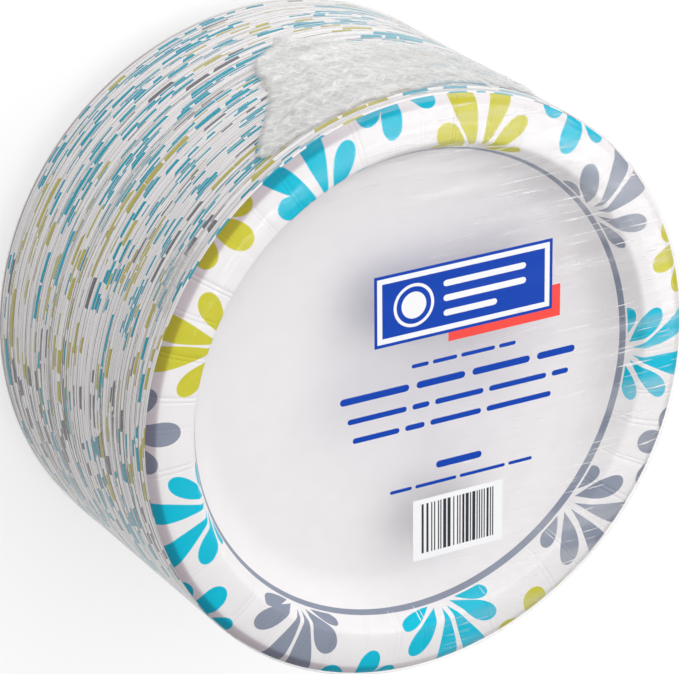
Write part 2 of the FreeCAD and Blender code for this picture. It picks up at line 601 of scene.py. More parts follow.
def bar(left: float, low: float, width: float, height: float) -> list[Point2]:
    """A bar with round ends, anticlockwise.

    Args:
        left: its left end.
        low: its lower side.
        width: its length.
        height: its height.

    Returns:
        Its corners.
    """
    half = height / 2
    turns = [math.pi * number / 6 - math.pi / 2 for number in range(7)]
    right_end = [(left + width - half + half * math.cos(t), low + half + half * math.sin(t)) for t in turns]
    left_end = [(left + half - half * math.cos(t), low + half - half * math.sin(t)) for t in turns]
    return right_end + left_end


def disc(x: float, y: float, radius: float, steps: int = 40) -> list[Point2]:
    """A circle's points, anticlockwise."""
    turns = [WHOLE_TURN * number / steps for number in range(steps)]
    return [(x + radius * math.cos(turn), y + radius * math.sin(turn)) for turn in turns]


@dataclass
class FlatSheet:
    """A flat sheet to be cut into triangles along its edges and the outlines of its fields."""

    places: list[Vector] = field(default_factory=list)
    edges: list[tuple[int, int]] = field(default_factory=list)
    fields: list[list[int]] = field(default_factory=list)
    kinds: list[int] = field(default_factory=list)

    def add_field(self, outline: Sequence[Point2], kind: int) -> None:
        """Adds a field of one kind, on top of the fields before it.

        Args:
            outline: its corners, anticlockwise, with no crossing.
            kind: the number that its triangles will carry.
        """
        self.fields.append(list(range(len(self.places), len(self.places) + len(outline))))
        self.places += [Vector(point) for point in outline]
        self.kinds.append(kind)

    def cut(self) -> tuple[list[Vector], list[tuple[int, ...]], list[list[int]]]:
        """Cuts the sheet.

        Returns:
            Places, triangles, and for each triangle the numbers of the fields that it lies in.
        """
        done = delaunay_2d_cdt(self.places, self.edges, self.fields, 0, 1e-4, True)
        return done[0], done[2], done[5]


@dataclass
class Shell:
    """A mesh as it grows: points in millimetres in the part's frame, faces, and each face's slot."""

    points: list[Point3] = field(default_factory=list)
    faces: list[tuple[int, ...]] = field(default_factory=list)
    slots: list[int] = field(default_factory=list)

    def add(self, faces: Sequence[tuple[int, ...]], slot: int, upper: bool = True) -> None:
        """Adds faces of one slot, turned over where they belong to an underside."""
        self.faces += faces if upper else [face[::-1] for face in faces]
        self.slots += [slot] * len(faces)

    def add_strip(self, first: Ring, second: Ring, slot: int, upper: bool = True) -> None:
        """Joins two closed rings of points with a strip of triangles.

        Args:
            first: angle and point number of each point of one ring, in order of angle.
            second: the same for the ring that lies to its left.
            slot: the strip's slot.
            upper: whether it belongs to an upper side.
        """
        faces = []
        here, there = 0, 0
        while here < len(first) or there < len(second):
            next_here = first[here + 1][0] if here + 1 < len(first) else WHOLE_TURN + first[0][0]
            next_there = second[there + 1][0] if there + 1 < len(second) else WHOLE_TURN + second[0][0]
            a, b = first[here % len(first)][1], second[there % len(second)][1]
            if there >= len(second) or (here < len(first) and next_here <= next_there):
                here += 1
                faces.append((a, first[here % len(first)][1], b))
            else:
                there += 1
                faces.append((a, second[there % len(second)][1], b))
        self.add(faces, slot, upper)

    def add_fan(self, ring: Ring, centre: Point3, slot: int, upper: bool = True) -> None:
        """Closes a ring with triangles that meet at a new point in its middle.

        Args:
            ring: angle and point number of each point, in order of angle.
            centre: the new point.
            slot: the fan's slot.
            upper: whether it belongs to an upper side.
        """
        middle = len(self.points)
        self.points.append(centre)
        self.add([(a, b, middle) for (_, a), (_, b) in zip(ring, ring[1:] + ring[:1])], slot, upper)


def make_piece(
    name: str, shell: Shell, materials: Sequence[bpy.types.Material], stands_for: str,
    crease_degrees: float = 40.0, film_map: Sequence[Point2] | None = None,
    strain: Sequence[float] | None = None
) -> None:
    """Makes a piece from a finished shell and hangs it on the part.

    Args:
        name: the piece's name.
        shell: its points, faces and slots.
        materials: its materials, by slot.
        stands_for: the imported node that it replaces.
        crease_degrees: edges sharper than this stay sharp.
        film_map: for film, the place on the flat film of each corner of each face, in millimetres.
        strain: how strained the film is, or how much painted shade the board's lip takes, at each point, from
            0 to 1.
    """
    mesh = bpy.data.meshes.new(name)
    mesh.from_pydata([(x * MM, y * MM, z * MM) for x, y, z in shell.points], [], shell.faces)
    for material in materials:
        mesh.materials.append(material)
    mesh.polygons.foreach_set("material_index", shell.slots)
    mesh.polygons.foreach_set("use_smooth", [True] * len(shell.faces))
    mesh.set_sharp_from_angle(angle=math.radians(crease_degrees))
    if film_map is not None:
        layer = mesh.uv_layers.new(name=FILM_MAP)
        layer.uv.foreach_set("vector", [value * MM for corner in film_map for value in corner])
    if strain is not None:
        mesh.attributes.new(STRAIN_AND_LIP_SHADE, "FLOAT", "POINT").data.foreach_set("value", strain)
    piece = bpy.data.objects.new(name, mesh)
    bpy.context.scene.collection.objects.link(piece)
    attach(piece, "root")
    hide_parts(stands_for)
    LOG.info("%s: %d triangles", name, sum(len(face) - 2 for face in shell.faces))


@dataclass
class ShowPlate:
    """A plate whose whole face shows: print as cut fields, pleats pressed in, a true thickness."""

    name: str
    stands_for: str
    section: PlateSection
    border: Border
    floor_height: float
    turn: float
    printed: bool = True
    pleats: int = 46
    pleat_gap: float = 1.7
    pleat_width: float = 0.5
    pleat_depth: float = 0.17
    plain_columns: int = 288
    floor_columns: int = 72
    floor_rings: tuple[float, ...] = (60.0, 40.0, 20.0)
    seed: int = 7

    def __post_init__(self) -> None:
        """Draws the pleats, pairs of fine creases not quite evenly spaced, and sets the mesh's rows."""
        draw = random.Random(self.seed)
        self.lines: list[float] = []
        for number in range(self.pleats):
            middle = WHOLE_TURN * (number + 0.5 + draw.uniform(-0.16, 0.16)) / self.pleats
            half = self.pleat_gap * draw.uniform(0.7, 1.2) / 2 / self.border.working_radius
            self.lines += [middle - half, middle + half]
        self.pleat_half = self.pleat_width / 2 / self.border.working_radius
        self.rows = [self.floor_rings[0] - self.section.floor_radius, -6.0] + self.section.runs

    def off_line(self, angle: float) -> float:
        """How far an angle lies from the nearest crease, in radians."""
        return min(abs(angle - line) for line in self.lines)

    def columns(self) -> list[float]:
        """Angles of the mesh's columns: both sides and the root of each pleat, and plain ones between.

        Returns:
            Angles from 0 to a whole turn, in order.
        """
        angles = [line + side * self.pleat_half for line in self.lines for side in (-1, 0, 1)]
        for number in range(self.plain_columns):
            angle = WHOLE_TURN * number / self.plain_columns
            if self.off_line(angle) > 2 * self.pleat_half:
                angles.append(angle)
        return [0.0] + sorted(angle for angle in angles if 0 < angle < WHOLE_TURN) + [WHOLE_TURN]

    def dent(self, angle: float, run: float) -> float:
        """How far the board is pressed down at a place, in millimetres.

        Args:
            angle: the place round the plate.
            run: the place along the board.

        Returns:
            A depth of 0 or more.
        """
        near = self.off_line(angle)
        if near >= self.pleat_half:
            return 0.0
        fade = smooth_step(self.border.ring_inner - 2, self.border.ring_outer + 6, run)
        deep = 0.55 + 0.45 * math.sin(7 * angle) * math.cos(11 * angle)
        return self.pleat_depth * deep * fade * (1 - near / self.pleat_half)

    def face_mesh(self) -> tuple[list[Point2], list[tuple[int, ...]], list[int]]:
        """Cuts the unrolled face along rows, pleats and print.

        Returns:
            Places as angle and run, triangles, and each triangle's ink number.
        """
        sheet, angles = FlatSheet(), self.columns()
        scale, length = self.border.working_radius, self.border.length
        for row, run in enumerate(self.rows):
            for column, angle in enumerate(angles):
                here = len(sheet.places)
                sheet.places.append(Vector((angle * scale, run)))
                if column:
                    sheet.edges.append((here - 1, here))
                if row:
                    sheet.edges.append((here - len(angles), here))
        if self.printed:
            for petal in self.border.petals:
                for lap in (-1, 0, 1):
                    outline = [(x + lap * length, y) for x, y in petal.outline()]
                    if max(x for x, _ in outline) > 0 and min(x for x, _ in outline) < length:
                        sheet.add_field(outline, petal.ink.value)
            sheet.add_field(box(0, self.border.ring_inner, length, self.border.ring_outer), Ink.GREY.value)
        whole = len(sheet.kinds)
        sheet.add_field(box(0, self.rows[0], length, self.rows[-1]), Ink.BARE.value)
        places, triangles, owners = sheet.cut()
        kept, inks = [], []
        for triangle, fields in zip(triangles, owners):
            if whole in fields:
                printed = [sheet.kinds[number] for number in fields if number != whole]
                kept.append(triangle)
                inks.append(printed[-1] if printed else Ink.BARE.value)
        return [(x / scale, y) for x, y in places], kept, inks

    def solid(self) -> Shell:
        """Rolls the face up, gives it its underside and closes it at the lip and at the middle.

        Returns:
            The plate as one closed shell.
        """
        flat, triangles, inks = self.face_mesh()
        shell, places, merged, number_of = Shell(), [], {}, {}
        for index in sorted({corner for triangle in triangles for corner in triangle}):
            angle, run = flat[index][0] % WHOLE_TURN, flat[index][1]
            key = (round(angle * 1e5) % round(WHOLE_TURN * 1e5), round(run * 1e3))
            if key not in merged:
                merged[key] = len(places)
                places.append((angle, run))
            number_of[index] = merged[key]
        dents = [self.dent(angle, run) for angle, run in places]
        for below in (0.0, self.section.board):
            for (angle, run), dent in zip(places, dents):
                radius, height, slope = self.section.at(run)
                depth = dent + below
                z = self.floor_height + height - depth * math.cos(slope)
                shell.points.append(on_circle(radius + depth * math.sin(slope), angle + self.turn, z))
        count, directed = len(places), set()
        for triangle, ink in zip(triangles, inks):
            a, b, c = (number_of[corner] for corner in triangle)
            if len({a, b, c}) < 3:
                continue
            if doubled_area(*(flat[corner] for corner in triangle)) > 0:
                b, c = c, b
            shell.add([(a, b, c)], ink)
            shell.add([(count + a, count + c, count + b)], Ink.BARE.value)
            directed |= {(a, b), (b, c), (c, a)}
        borders = [(a, b) for a, b in directed if (b, a) not in directed]
        within = self.rows[0] + 0.5
        lip = [(b, a, count + a, count + b) for a, b in borders if places[a][1] > within]
        shell.add(lip, Ink.CUT_AND_GAP_SHADOW.value)
        for side, depth in ((0, 0.0), (count, self.section.board)):
            ring = sorted((places[a][0], side + a) for a, b in borders if places[a][1] <= within)
            z = self.floor_height - depth
            for radius in self.floor_rings[1:]:
                start, columns = len(shell.points), self.floor_columns
                inner = [(WHOLE_TURN * number / columns, start + number) for number in range(columns)]
                shell.points += [on_circle(radius, angle + self.turn, z) for angle, _ in inner]
                shell.add_strip(ring, inner, Ink.BARE.value, side == 0)
                ring = inner
            shell.add_fan(ring, (0.0, 0.0, z), Ink.BARE.value, side == 0)
        return shell

    def build(self, boards: Sequence[bpy.types.Material]) -> None:
        """Makes the plate's piece, with a painted shade on its lip, darkest on the side away from +X.

        Args:
            boards: the board's materials, by ink number.
        """
        shell = self.solid()
        edge = self.section.at(self.section.shoulder_run)[0]
        # Painted shade on the lip: rises past the shoulder, strongest towards -X and weaker towards +X.
        lip_shade_share = [
            smooth_step(edge - 0.4, edge + 1.2, math.hypot(x, y)) * (0.3 + 0.7 * smooth_step(30, -70, x))
            for x, y, _ in shell.points
        ]
        make_piece(self.name, shell, boards, self.stands_for, strain=lip_shade_share)


@dataclass(frozen=True)
class Lie:
    """How one nested plate lies, and how its print fell: radians and millimetres.

    Each wave of its lip has a phase, a number of lobes and a swing. The print ends a margin before
    the lip's end, and a painted gap shadow, dark like raw fibre, covers the width of the edge."""

    turn: float
    drift: Point2
    shift: Point2
    spread: float
    waves: Sequence[tuple[float, int, float]]
    margin: float
    edge: float


@dataclass
class NestedPlates:
    """The plates under the top one, each a closed sheet of its own, a little out of line with the next."""

    section: PlateSection
    border: Border
    first_floor: float
    pitch: float
    count: int
    groups: int = 4
    base_columns: int = 120
    hidden_columns: int = 56
    stray_mm: float = 0.25
    run_degrees: tuple[float, ...] = (17.0, 17.0, 17.0, -62.0)
    print_shy: float = 0.6
    shown_shares: tuple[float, ...] = (1.0, 0.85, 0.45, 0.4)
    # In the loose sector the lips sway more and the painted gap shadow at their ends is wider.
    loose_angle: float = math.radians(190)
    loose_spread: float = 0.3
    loose_more: float = 1.3
    least_gap: float = 0.0015
    most_lean: float = 0.02
    seed: int = 31

    def __post_init__(self) -> None:
        """Draws each plate's turn, shift and print drift, so that print lines up only in short runs."""
        draw = random.Random(self.seed)
        self.lies: list[Lie] = []
        turn = math.radians(self.run_degrees[0])
        for _ in range(self.count):
            if draw.random() < 0.2:
                turn = draw.uniform(0, WHOLE_TURN)
            elif draw.random() < 0.35:
                turn = math.radians(draw.choice(self.run_degrees)) + draw.gauss(0, 0.09)
            drift = (draw.gauss(0, 1.6), draw.gauss(0, 1.6))
            turn += draw.gauss(0, 0.045)
            shift = (draw.gauss(0, self.stray_mm), draw.gauss(0, self.stray_mm))
            spread = draw.uniform(-1.8, 1.6)
            waves = [
                (draw.uniform(0, WHOLE_TURN), draw.choice(lobes), draw.uniform(0.0, most))
                for lobes, most in (((3, 5, 7, 9), 0.26), ((17, 23, 29, 37), 0.15))
            ]
            # edge: width of the painted gap shadow along the lip's end; margin: how far before the lip's end
            # the print stops.
            edge, margin = draw.choice(((0.02, 0.08), (0.04, 0.14), (0.06, 0.2), (0.11, 0.3)))
            self.lies.append(Lie(turn, drift, shift, spread, waves, margin, edge))

    def columns(self, number: int) -> tuple[list[float], list[float], list[int]]:
        """Where a plate's mesh has its columns: evenly round, and at both ends of each dash of print.

        Args:
            number: the plate's place in the stack, counted from the bottom.

        Returns:
            Angles, how far each column leans round by the lip's corner, and the ink that follows it.
        """
        lie, draw = self.lies[number], random.Random(self.seed + number)
        spans = self.border.spans_at(self.section.lip_run + self.print_shy, lie.drift, lie.spread)
        spans = [span for span in spans if draw.random() < self.shown_shares[span[2].value]]
        angles = {WHOLE_TURN * column / self.base_columns: 0.0 for column in range(self.base_columns)}
        for start, end, _ in spans:
            angles[start % WHOLE_TURN] = draw.uniform(0.2, 1.0)
            angles[end % WHOLE_TURN] = -draw.uniform(0.2, 1.0)
        columns, leans, inks = [], [], []
        for angle in sorted(angles):
            if not columns or angle - columns[-1] > self.least_gap:
                columns.append(angle)
                leans.append(angles[angle])
        ends = columns[1:] + [columns[0] + WHOLE_TURN]
        gaps = [there - here for here, there in zip(columns, ends)]
        for place, lean in enumerate(leans):
            leans[place] = lean * min(0.4 * gaps[place - 1], 0.4 * gaps[place], self.most_lean)
        for here, there in zip(columns, ends):
            middle, ink = (here + there) / 2, Ink.BARE
            for start, end, printed in spans:
                if any(start <= middle + lap < end for lap in (-WHOLE_TURN, 0.0, WHOLE_TURN)):
                    ink = printed
            inks.append(ink.value)
        return columns, leans, inks

    def plate(self, number: int, shell: Shell) -> None:
        """Adds one plate.

        Args:
            number: the plate's place in the stack, counted from the bottom.
            shell: its group's shell, added to.
        """
        lie, floor = self.lies[number], self.first_floor + number * self.pitch
        columns, leans, inks = self.columns(number)

        def ring(run: float, depth: float, around: Sequence[float], back: float = 0.0) -> Ring:
            """Adds a ring of points, swaying more where the lips are loose; at the lip's end it bounds a
            painted gap shadow that is wider there.

            Args:
                run: place along the board.
                depth: how far it lies under the face.
                around: the points' angles.
                back: how far it is set back, on lips that are not loose; at the lip's end, the painted gap
                    shadow's width.

            Returns:
                Angle and point number of each point.
            """
            made = []
            for place, angle in enumerate(around):
                made.append((angle, len(shell.points)))
                whole = angle + lie.turn
                apart = (whole - self.loose_angle + math.pi) % WHOLE_TURN - math.pi
                looseness = 1.0 + self.loose_more * math.exp(-((apart / self.loose_spread) ** 2))
                radius, height, slope = self.section.at(run - back * looseness)
                lip_share = 1 - min(1.0, (self.section.lip_run - run) / 1.1)
                sway = sum(swing * math.sin(lobes * angle + phase) for phase, lobes, swing in lie.waves)
                rise = looseness * sway * (max(0.0, run) / self.section.lip_run) ** 3
                if around is columns:
                    whole += leans[place] * (2 * lip_share - 1)
                z = floor + height - depth * math.cos(slope)
                x, y, z = on_circle(radius + depth * math.sin(slope), whole, z)
                shell.points.append((x + lie.shift[0], y + lie.shift[1], z + rise))
            return made

        lip, shoulder, crest = self.section.lip_run, self.section.shoulder_run, self.section.crest_run
        board, foot = self.section.board, self.section.wall_foot_run
        visible = [(shoulder, 0.0), (lip - 1.8, 0.0), (lip - 0.8, 0.0), (lip - lie.margin, 0.0)]
        visible += [(lip, 0.0), (lip, 0.0), (lip, board), (lip - 1.6, board), (shoulder, board)]
        rings = [ring(*place, columns, lie.edge if band == 4 else 0.0) for band, place in enumerate(visible)]
        for band, (inner, outer) in enumerate(zip(rings, rings[1:])):
            # Bands 4 and 5 take the dark edge material: band 4 is a painted gap shadow on the lip's face,
            # band 5 the cut edge.
            plain = Ink.CUT_AND_GAP_SHADOW.value if band in (4, 5) else Ink.BARE.value
            for column, ink in enumerate(inks):
                after = (column + 1) % len(columns)
                face = (inner[column][1], outer[column][1], outer[after][1], inner[after][1])
                shell.add([face], ink if band < 3 else plain)
        hidden = [WHOLE_TURN * column / self.hidden_columns for column in range(self.hidden_columns)]
        hidden_runs = (crest, crest - 2.3, foot, foot * 0.8, foot * 0.6, foot * 0.4, foot * 0.2, 0.0)
        for before, depth, upper in ((rings[0], 0.0, True), (rings[-1], board, False)):
            for run in hidden_runs:
                inner = ring(run, depth, hidden)
                shell.add_strip(before, inner, Ink.BARE.value, upper)
                before = inner
            shell.add_fan(before, (*lie.shift, floor - depth), Ink.BARE.value, upper)

    def build(self, boards: Sequence[bpy.types.Material]) -> None:
        """Makes one piece for each group of plates.

        Args:
            boards: copies of the board's materials for the lips, with painted light and shade, by ink number.
        """
        each = math.ceil(self.count / self.groups)
        for start in range(0, self.count, each):
            end = min(start + each, self.count)
            shell = Shell()
            for number in range(start, end):
                self.plate(number, shell)
            name = f"plates_{start + 2:03d}_to_{end + 1:03d}"
            make_piece(name, shell, boards, "plates_nested", 30.0)


@dataclass
class FilmLabel:
    """The print on the film over the dish: a plain panel with a plate sign, bars for words, and a bar block.

    Places are in millimetres from the middle of the dish."""

    panel: tuple[float, float, float, float] = (-21.0, 21.0, 52.0, 48.0)
    word_rows: tuple[tuple[float, float, float, tuple[float, ...]], ...] = (
        (-6, 10.4, 1.5, (7, 10, 14, 7)), (-35, 2.2, 2.7, (28, 20, 24, 16)),
        (-32, -5.6, 2.1, (24, 7, 20, 24, 7)), (-30, -13.2, 2.1, (19, 8, 21, 27)),
        (4, -30.6, 2.7, (19,)), (-15, -36.6, 1.3, (9, 17, 19, 10)),
    )

    def fields(self) -> list[tuple[list[Point2], Skin]]:
        """Every printed field, with the ones on top last: panel, plate sign, rows of words, bar block.

        Returns:
            Outlines with their inks.
        """
        left, low, right, high = self.panel
        fields = [(box(left + 30, low - 3.4, right + 3.4, low + 9), Skin.RED)]
        for inset, skin in ((0.0, Skin.BLUE), (1.2, Skin.WHITE), (3.2, Skin.BLUE)):
            fields.append((box(left + inset, low + inset, right - inset, high - inset), skin))
        for radius, skin in ((8.2, Skin.WHITE), (7.0, Skin.BLUE), (5.0, Skin.WHITE)):
            fields.append((disc(left + 16.0, (low + high) / 2, radius), skin))
        for row, width in enumerate((34.0, 34.0, 22.0)):
            fields.append((bar(left + 28, high - 9.2 - row * 5.6, width, 2.4), Skin.WHITE))
        for x, foot, height, widths in self.word_rows:
            for width in widths:
                fields.append((bar(x, foot, width, height), Skin.BLUE))
                x += width + height * 1.1
        fields.append((box(-5.5, -65.5, 32.0, -41.5), Skin.WHITE))
        draw, x = random.Random(5), -2.0
        while x < 28.6:
            width = draw.choice((0.5, 0.5, 0.9, 1.3))
            fields.append((box(x, -63.0, x + width, -43.5), Skin.DARK))
            x += width + draw.choice((0.5, 0.7, 1.1))
        return fields


@dataclass
class FilmWrap:
    """The clear film: a drumhead over the dish, then over rim and lips, and in under the lowest plate."""

    section: PlateSection
    label: FilmLabel
    crest_height: float
    top_lip: float
    low_lip: float
    base_radius: float
    drum_radius: float = 94.5
    drum_spacing: float = 1.7
    columns: int = 300
    side_rows: int = 46
    stand_off: float = 0.55
    pull_degrees: float = 3.0
    ridge_mm: float = 0.13

    def strain(self, x: float, y: float, height: float) -> float:
        """How strained the film is at a place: most over the rim on the side that the pull runs to.

        Args:
            x: place along X.
            y: place along Y.
            height: place along Z.

        Returns:
            A share from 0 to 1.
        """
        radius = math.hypot(x, y)
        side = smooth_step(-10, 85, x - 0.15 * y)
        over_rim = smooth_step(52, 98, radius)
        low = smooth_step(30, 4, height)
        far = 0.8 * smooth_step(-5, 90, 0.8 * x + 0.5 * y)
        return max(0.0, far, side * over_rim, 0.6 * low)

    def drum_height(self, x: float, y: float) -> float:
        """Height of the film over the crest's level: shallow ridges that run along the pull.

        Args:
            x: place along X.
            y: place along Y.

        Returns:
            Millimetres.
        """
        turn = math.radians(self.pull_degrees)
        along = x * math.cos(turn) + y * math.sin(turn)
        across = -x * math.sin(turn) + y * math.cos(turn)
        broad = noise.noise(Vector((along / 120, across / 11, 3.1)))
        fine = noise.noise(Vector((along / 60, across / 4.0, 9.7)))
        share = smooth_step(-60, 70, 0.5 * x + 0.8 * y)
        return 0.2 + self.ridge_mm * (broad * (0.5 + share) + 0.45 * fine * share)

    def path(self) -> list[Point2]:
        """Radius and height of the film's rows from the drumhead's edge round to the base.

        Returns:
            Radii and heights, in order.
        """
        off = self.stand_off
        rows = []
        crest = self.section.crest_run + 1.0
        for share in (0.25, 0.5, 0.75, 1.0):
            radius, height, _ = self.section.at(crest + share * (self.section.shoulder_run - crest))
            rows.append((radius, self.crest_height - self.section.depth + height + 0.25))
        lip_radius = self.section.radius + off
        for turn in (30, 55, 80):
            lean = math.radians(turn)
            out = self.section.radius - 2.6 + (2.6 + off) * math.sin(lean)
            rows.append((out, self.top_lip + off + 1.9 * math.cos(lean)))
        for row in range(self.side_rows + 1):
            share = row / self.side_rows
            rows.append((lip_radius, self.top_lip + (self.low_lip - self.top_lip) * share))
        for share in (0.04, 0.12, 0.3, 0.5, 0.7, 0.86, 1.0):
            radius = lip_radius + (self.base_radius - lip_radius) * share
            rows.append((radius, self.low_lip * (1 - share) ** 1.08 + 0.02))
        return rows + [(radius, 0.02) for radius in (60.0, 40.0, 20.0)]

    def ripple(self, angle: float, height: float) -> float:
        """How far the film stands out at a place on the rim, side or underside, in millimetres.

        Args:
            angle: the place round the part.
            height: the place along Z.

        Returns:
            Millimetres, below 0 inwards.
        """
        x, y = math.cos(angle), math.sin(angle)
        slack = noise.noise(Vector((x * 5, y * 5, height / 26)))
        pucker = noise.noise(Vector((x * 26, y * 26, height / 60 + 7)))
        low = smooth_step(30, 6, height)
        return 0.12 * slack + 0.05 * pucker + low * 0.35 * pucker

    def map_face(self, face: Sequence[int], points: Sequence[Point3]) -> list[Point2]:
        """Lays a face of the film out flat: as seen from above, or unrolled where it stands upright.

        Args:
            face: corner numbers.
            points: all corners.

        Returns:
            A place for each corner, in millimetres.
        """
        corners = [points[corner] for corner in face]
        middle = [sum(corner[axis] for corner in corners) / len(corners) for axis in range(3)]
        if math.hypot(middle[0], middle[1]) < self.section.radius - 1.5 or middle[2] < self.low_lip * 0.6:
            return [(x, y) for x, y, _ in corners]
        first = math.atan2(corners[0][1], corners[0][0])
        places = []
        for x, y, z in corners:
            angle = math.atan2(y, x)
            angle -= WHOLE_TURN * round((angle - first) / WHOLE_TURN)
            places.append((angle * self.section.radius, z))
        return places

    def build(self, skins: Sequence[bpy.types.Material]) -> None:
        """Makes the film's piece: the cut drumhead, then rings of points over the rim, side and underside.

        Args:
            skins: the film's materials, by skin number.
        """
        sheet, draw = FlatSheet(), random.Random(11)
        rim = [WHOLE_TURN * column / self.columns for column in range(self.columns)]
        sheet.add_field([on_circle(self.drum_radius, angle, 0.0)[:2] for angle in rim], Skin.CLEAR.value)
        steps = int(self.drum_radius / self.drum_spacing)
        for i in range(-steps, steps + 1):
            for j in range(-steps, steps + 1):
                x, y = (number * self.drum_spacing + draw.uniform(-0.3, 0.3) for number in (i, j))
                if math.hypot(x, y) < self.drum_radius - self.drum_spacing * 0.6:
                    sheet.places.append(Vector((x, y)))
        for outline, skin in self.label.fields():
            sheet.add_field(outline, skin.value)
        places, triangles, owners = sheet.cut()
        shell = Shell([(x, y, self.crest_height + self.drum_height(x, y)) for x, y in places])
        for (a, b, c), fields in zip(triangles, owners):
            if fields:
                upward = doubled_area(places[a], places[b], places[c]) >= 0
                shell.add([(a, b, c) if upward else (a, c, b)], sheet.kinds[max(fields)])
        before = sorted(
            (math.atan2(y, x) % WHOLE_TURN, index) for index, (x, y) in enumerate(places)
            if abs(math.hypot(x, y) - self.drum_radius) < 0.01
        )
        for radius, height in self.path():
            ring = []
            steep = smooth_step(self.section.radius - 4, self.section.radius, radius)
            for angle in rim:
                out = self.ripple(angle, height) if radius > self.base_radius + 0.5 else 0.0
                z = height + abs(out) * (1 - steep) if height > self.low_lip else height
                ring.append((angle, len(shell.points)))
                shell.points.append(on_circle(radius + out * steep, angle, max(0.0, z)))
            shell.add_strip(before, ring, Skin.CLEAR.value, False)
            before = ring
        shell.add_fan(before, (0.0, 0.0, 0.02), Skin.CLEAR.value, False)
        film_map = [place for face in shell.faces for place in self.map_face(face, shell.points)]
        strain = [self.strain(*point) for point in shell.points]
        make_piece("wrap_film_skin", shell, skins, "wrap_film", 60.0, film_map, strain)


@dataclass
class FilmGather:
    """A place on the side where the film's spare width shrank into a mat of fine folds.

    Angles are in degrees round the part; heights are in millimetres under the top plate's lip."""

    name: str
    radius: float
    top_lip: float
    outline: tuple[Point2, ...]
    focus: Point2
    columns: int = 170
    rows: int = 150
    fold_mm: float = 0.55
    soft_edges: tuple[float, float] = (4.0, 42.0)
    milkiness: float = 0.92
    seed: float = 2.7

    def edge_distance(self, x: float, y: float) -> float:
        """How far inside the outline a place on the unrolled side is, in millimetres; below 0 outside.

        Args:
            x: place round the side.
            y: height under the top lip.

        Returns:
            The distance.
        """
        corners = [(math.radians(a) * self.radius, h) for a, h in self.outline]
        nearest, inside = 1e9, False
        for (x0, y0), (x1, y1) in zip(corners, corners[1:] + corners[:1]):
            length = (x1 - x0) ** 2 + (y1 - y0) ** 2
            share = min(1.0, max(0.0, ((x - x0) * (x1 - x0) + (y - y0) * (y1 - y0)) / length))
            nearest = min(nearest, math.hypot(x - x0 - share * (x1 - x0), y - y0 - share * (y1 - y0)))
            if (y0 > y) != (y1 > y) and x < x0 + (x1 - x0) * (y - y0) / (y1 - y0):
                inside = not inside
        return nearest if inside else -nearest

    def fold(self, x: float, y: float) -> float:
        """Height of the folds at a place on the unrolled side: sharp ridges that fan out from the focus.

        Args:
            x: place round the side.
            y: height under the top lip.

        Returns:
            Millimetres, 0 or more.
        """
        fx, fy = math.radians(self.focus[0]) * self.radius, self.focus[1]
        reach = math.hypot(x - fx, y - fy)
        turn = math.atan2(y - fy, x - fx)
        warp = noise.noise(Vector((x / 11, y / 11, self.seed)))
        fan = noise.noise(Vector((turn * 10 + warp * 1.5, reach / 26, self.seed + 4)))
        ridged = (1 - 2.2 * abs(fan)) * 0.45
        for number, degrees in enumerate((25, 70, 115, 160)):
            lean = math.radians(degrees) + warp * 0.7
            along = x * math.cos(lean) + y * math.sin(lean)
            across = -x * math.sin(lean) + y * math.cos(lean)
            size = 1.5 + 0.5 * number
            crease = noise.noise(Vector((along / (size * 4.5), across / size, self.seed + 9 * number)))
            ridged += (1 - 3.2 * abs(crease)) * 0.22
        swell = noise.noise(Vector(((x + 0.6 * y) / 7, (y - 0.5 * x) / 13, self.seed + 50)))
        ridged += (1 - 2.6 * abs(swell)) * 0.9
        return self.fold_mm * max(0.0, ridged)

    def build(self, finish: bpy.types.Material) -> None:
        """Makes the mat of folds as one thin sheet that lies on the film.

        Args:
            finish: the crumpled film's material.
        """
        angles, heights = zip(*self.outline)
        shell, numbers, strains, flat = Shell(), {}, [], []
        for i in range(self.columns + 1):
            degrees = min(angles) + (max(angles) - min(angles)) * i / self.columns
            around = math.radians(degrees)
            x = around * self.radius
            fade = 0.35 + 0.65 * smooth_step(0, self.soft_edges[1], degrees - min(angles))
            for j in range(self.rows + 1):
                drop = min(heights) + (max(heights) - min(heights)) * j / self.rows
                ragged = 2.2 * noise.noise(Vector((x / 7, drop / 7, self.seed + 20)))
                inside = self.edge_distance(x, drop) + ragged
                if inside < 0:
                    continue
                numbers[i, j] = len(shell.points)
                r = self.radius + 0.25 + smooth_step(0, 4, inside) * self.fold(x, drop)
                shell.points.append(on_circle(r, around, self.top_lip + drop))
                strains.append(smooth_step(-0.5, self.soft_edges[0], inside) * (self.milkiness * fade))
                flat.append((x, drop))
        for i in range(self.columns):
            for j in range(self.rows):
                corners = [(i, j), (i + 1, j), (i + 1, j + 1), (i, j + 1)]
                if all(corner in numbers for corner in corners):
                    shell.add([tuple(numbers[corner] for corner in corners)], Skin.CLEAR.value)
        film_map = [flat[corner] for face in shell.faces for corner in face]
        make_piece(self.name, shell, [finish], "wrap_film", 180.0, film_map, strains)


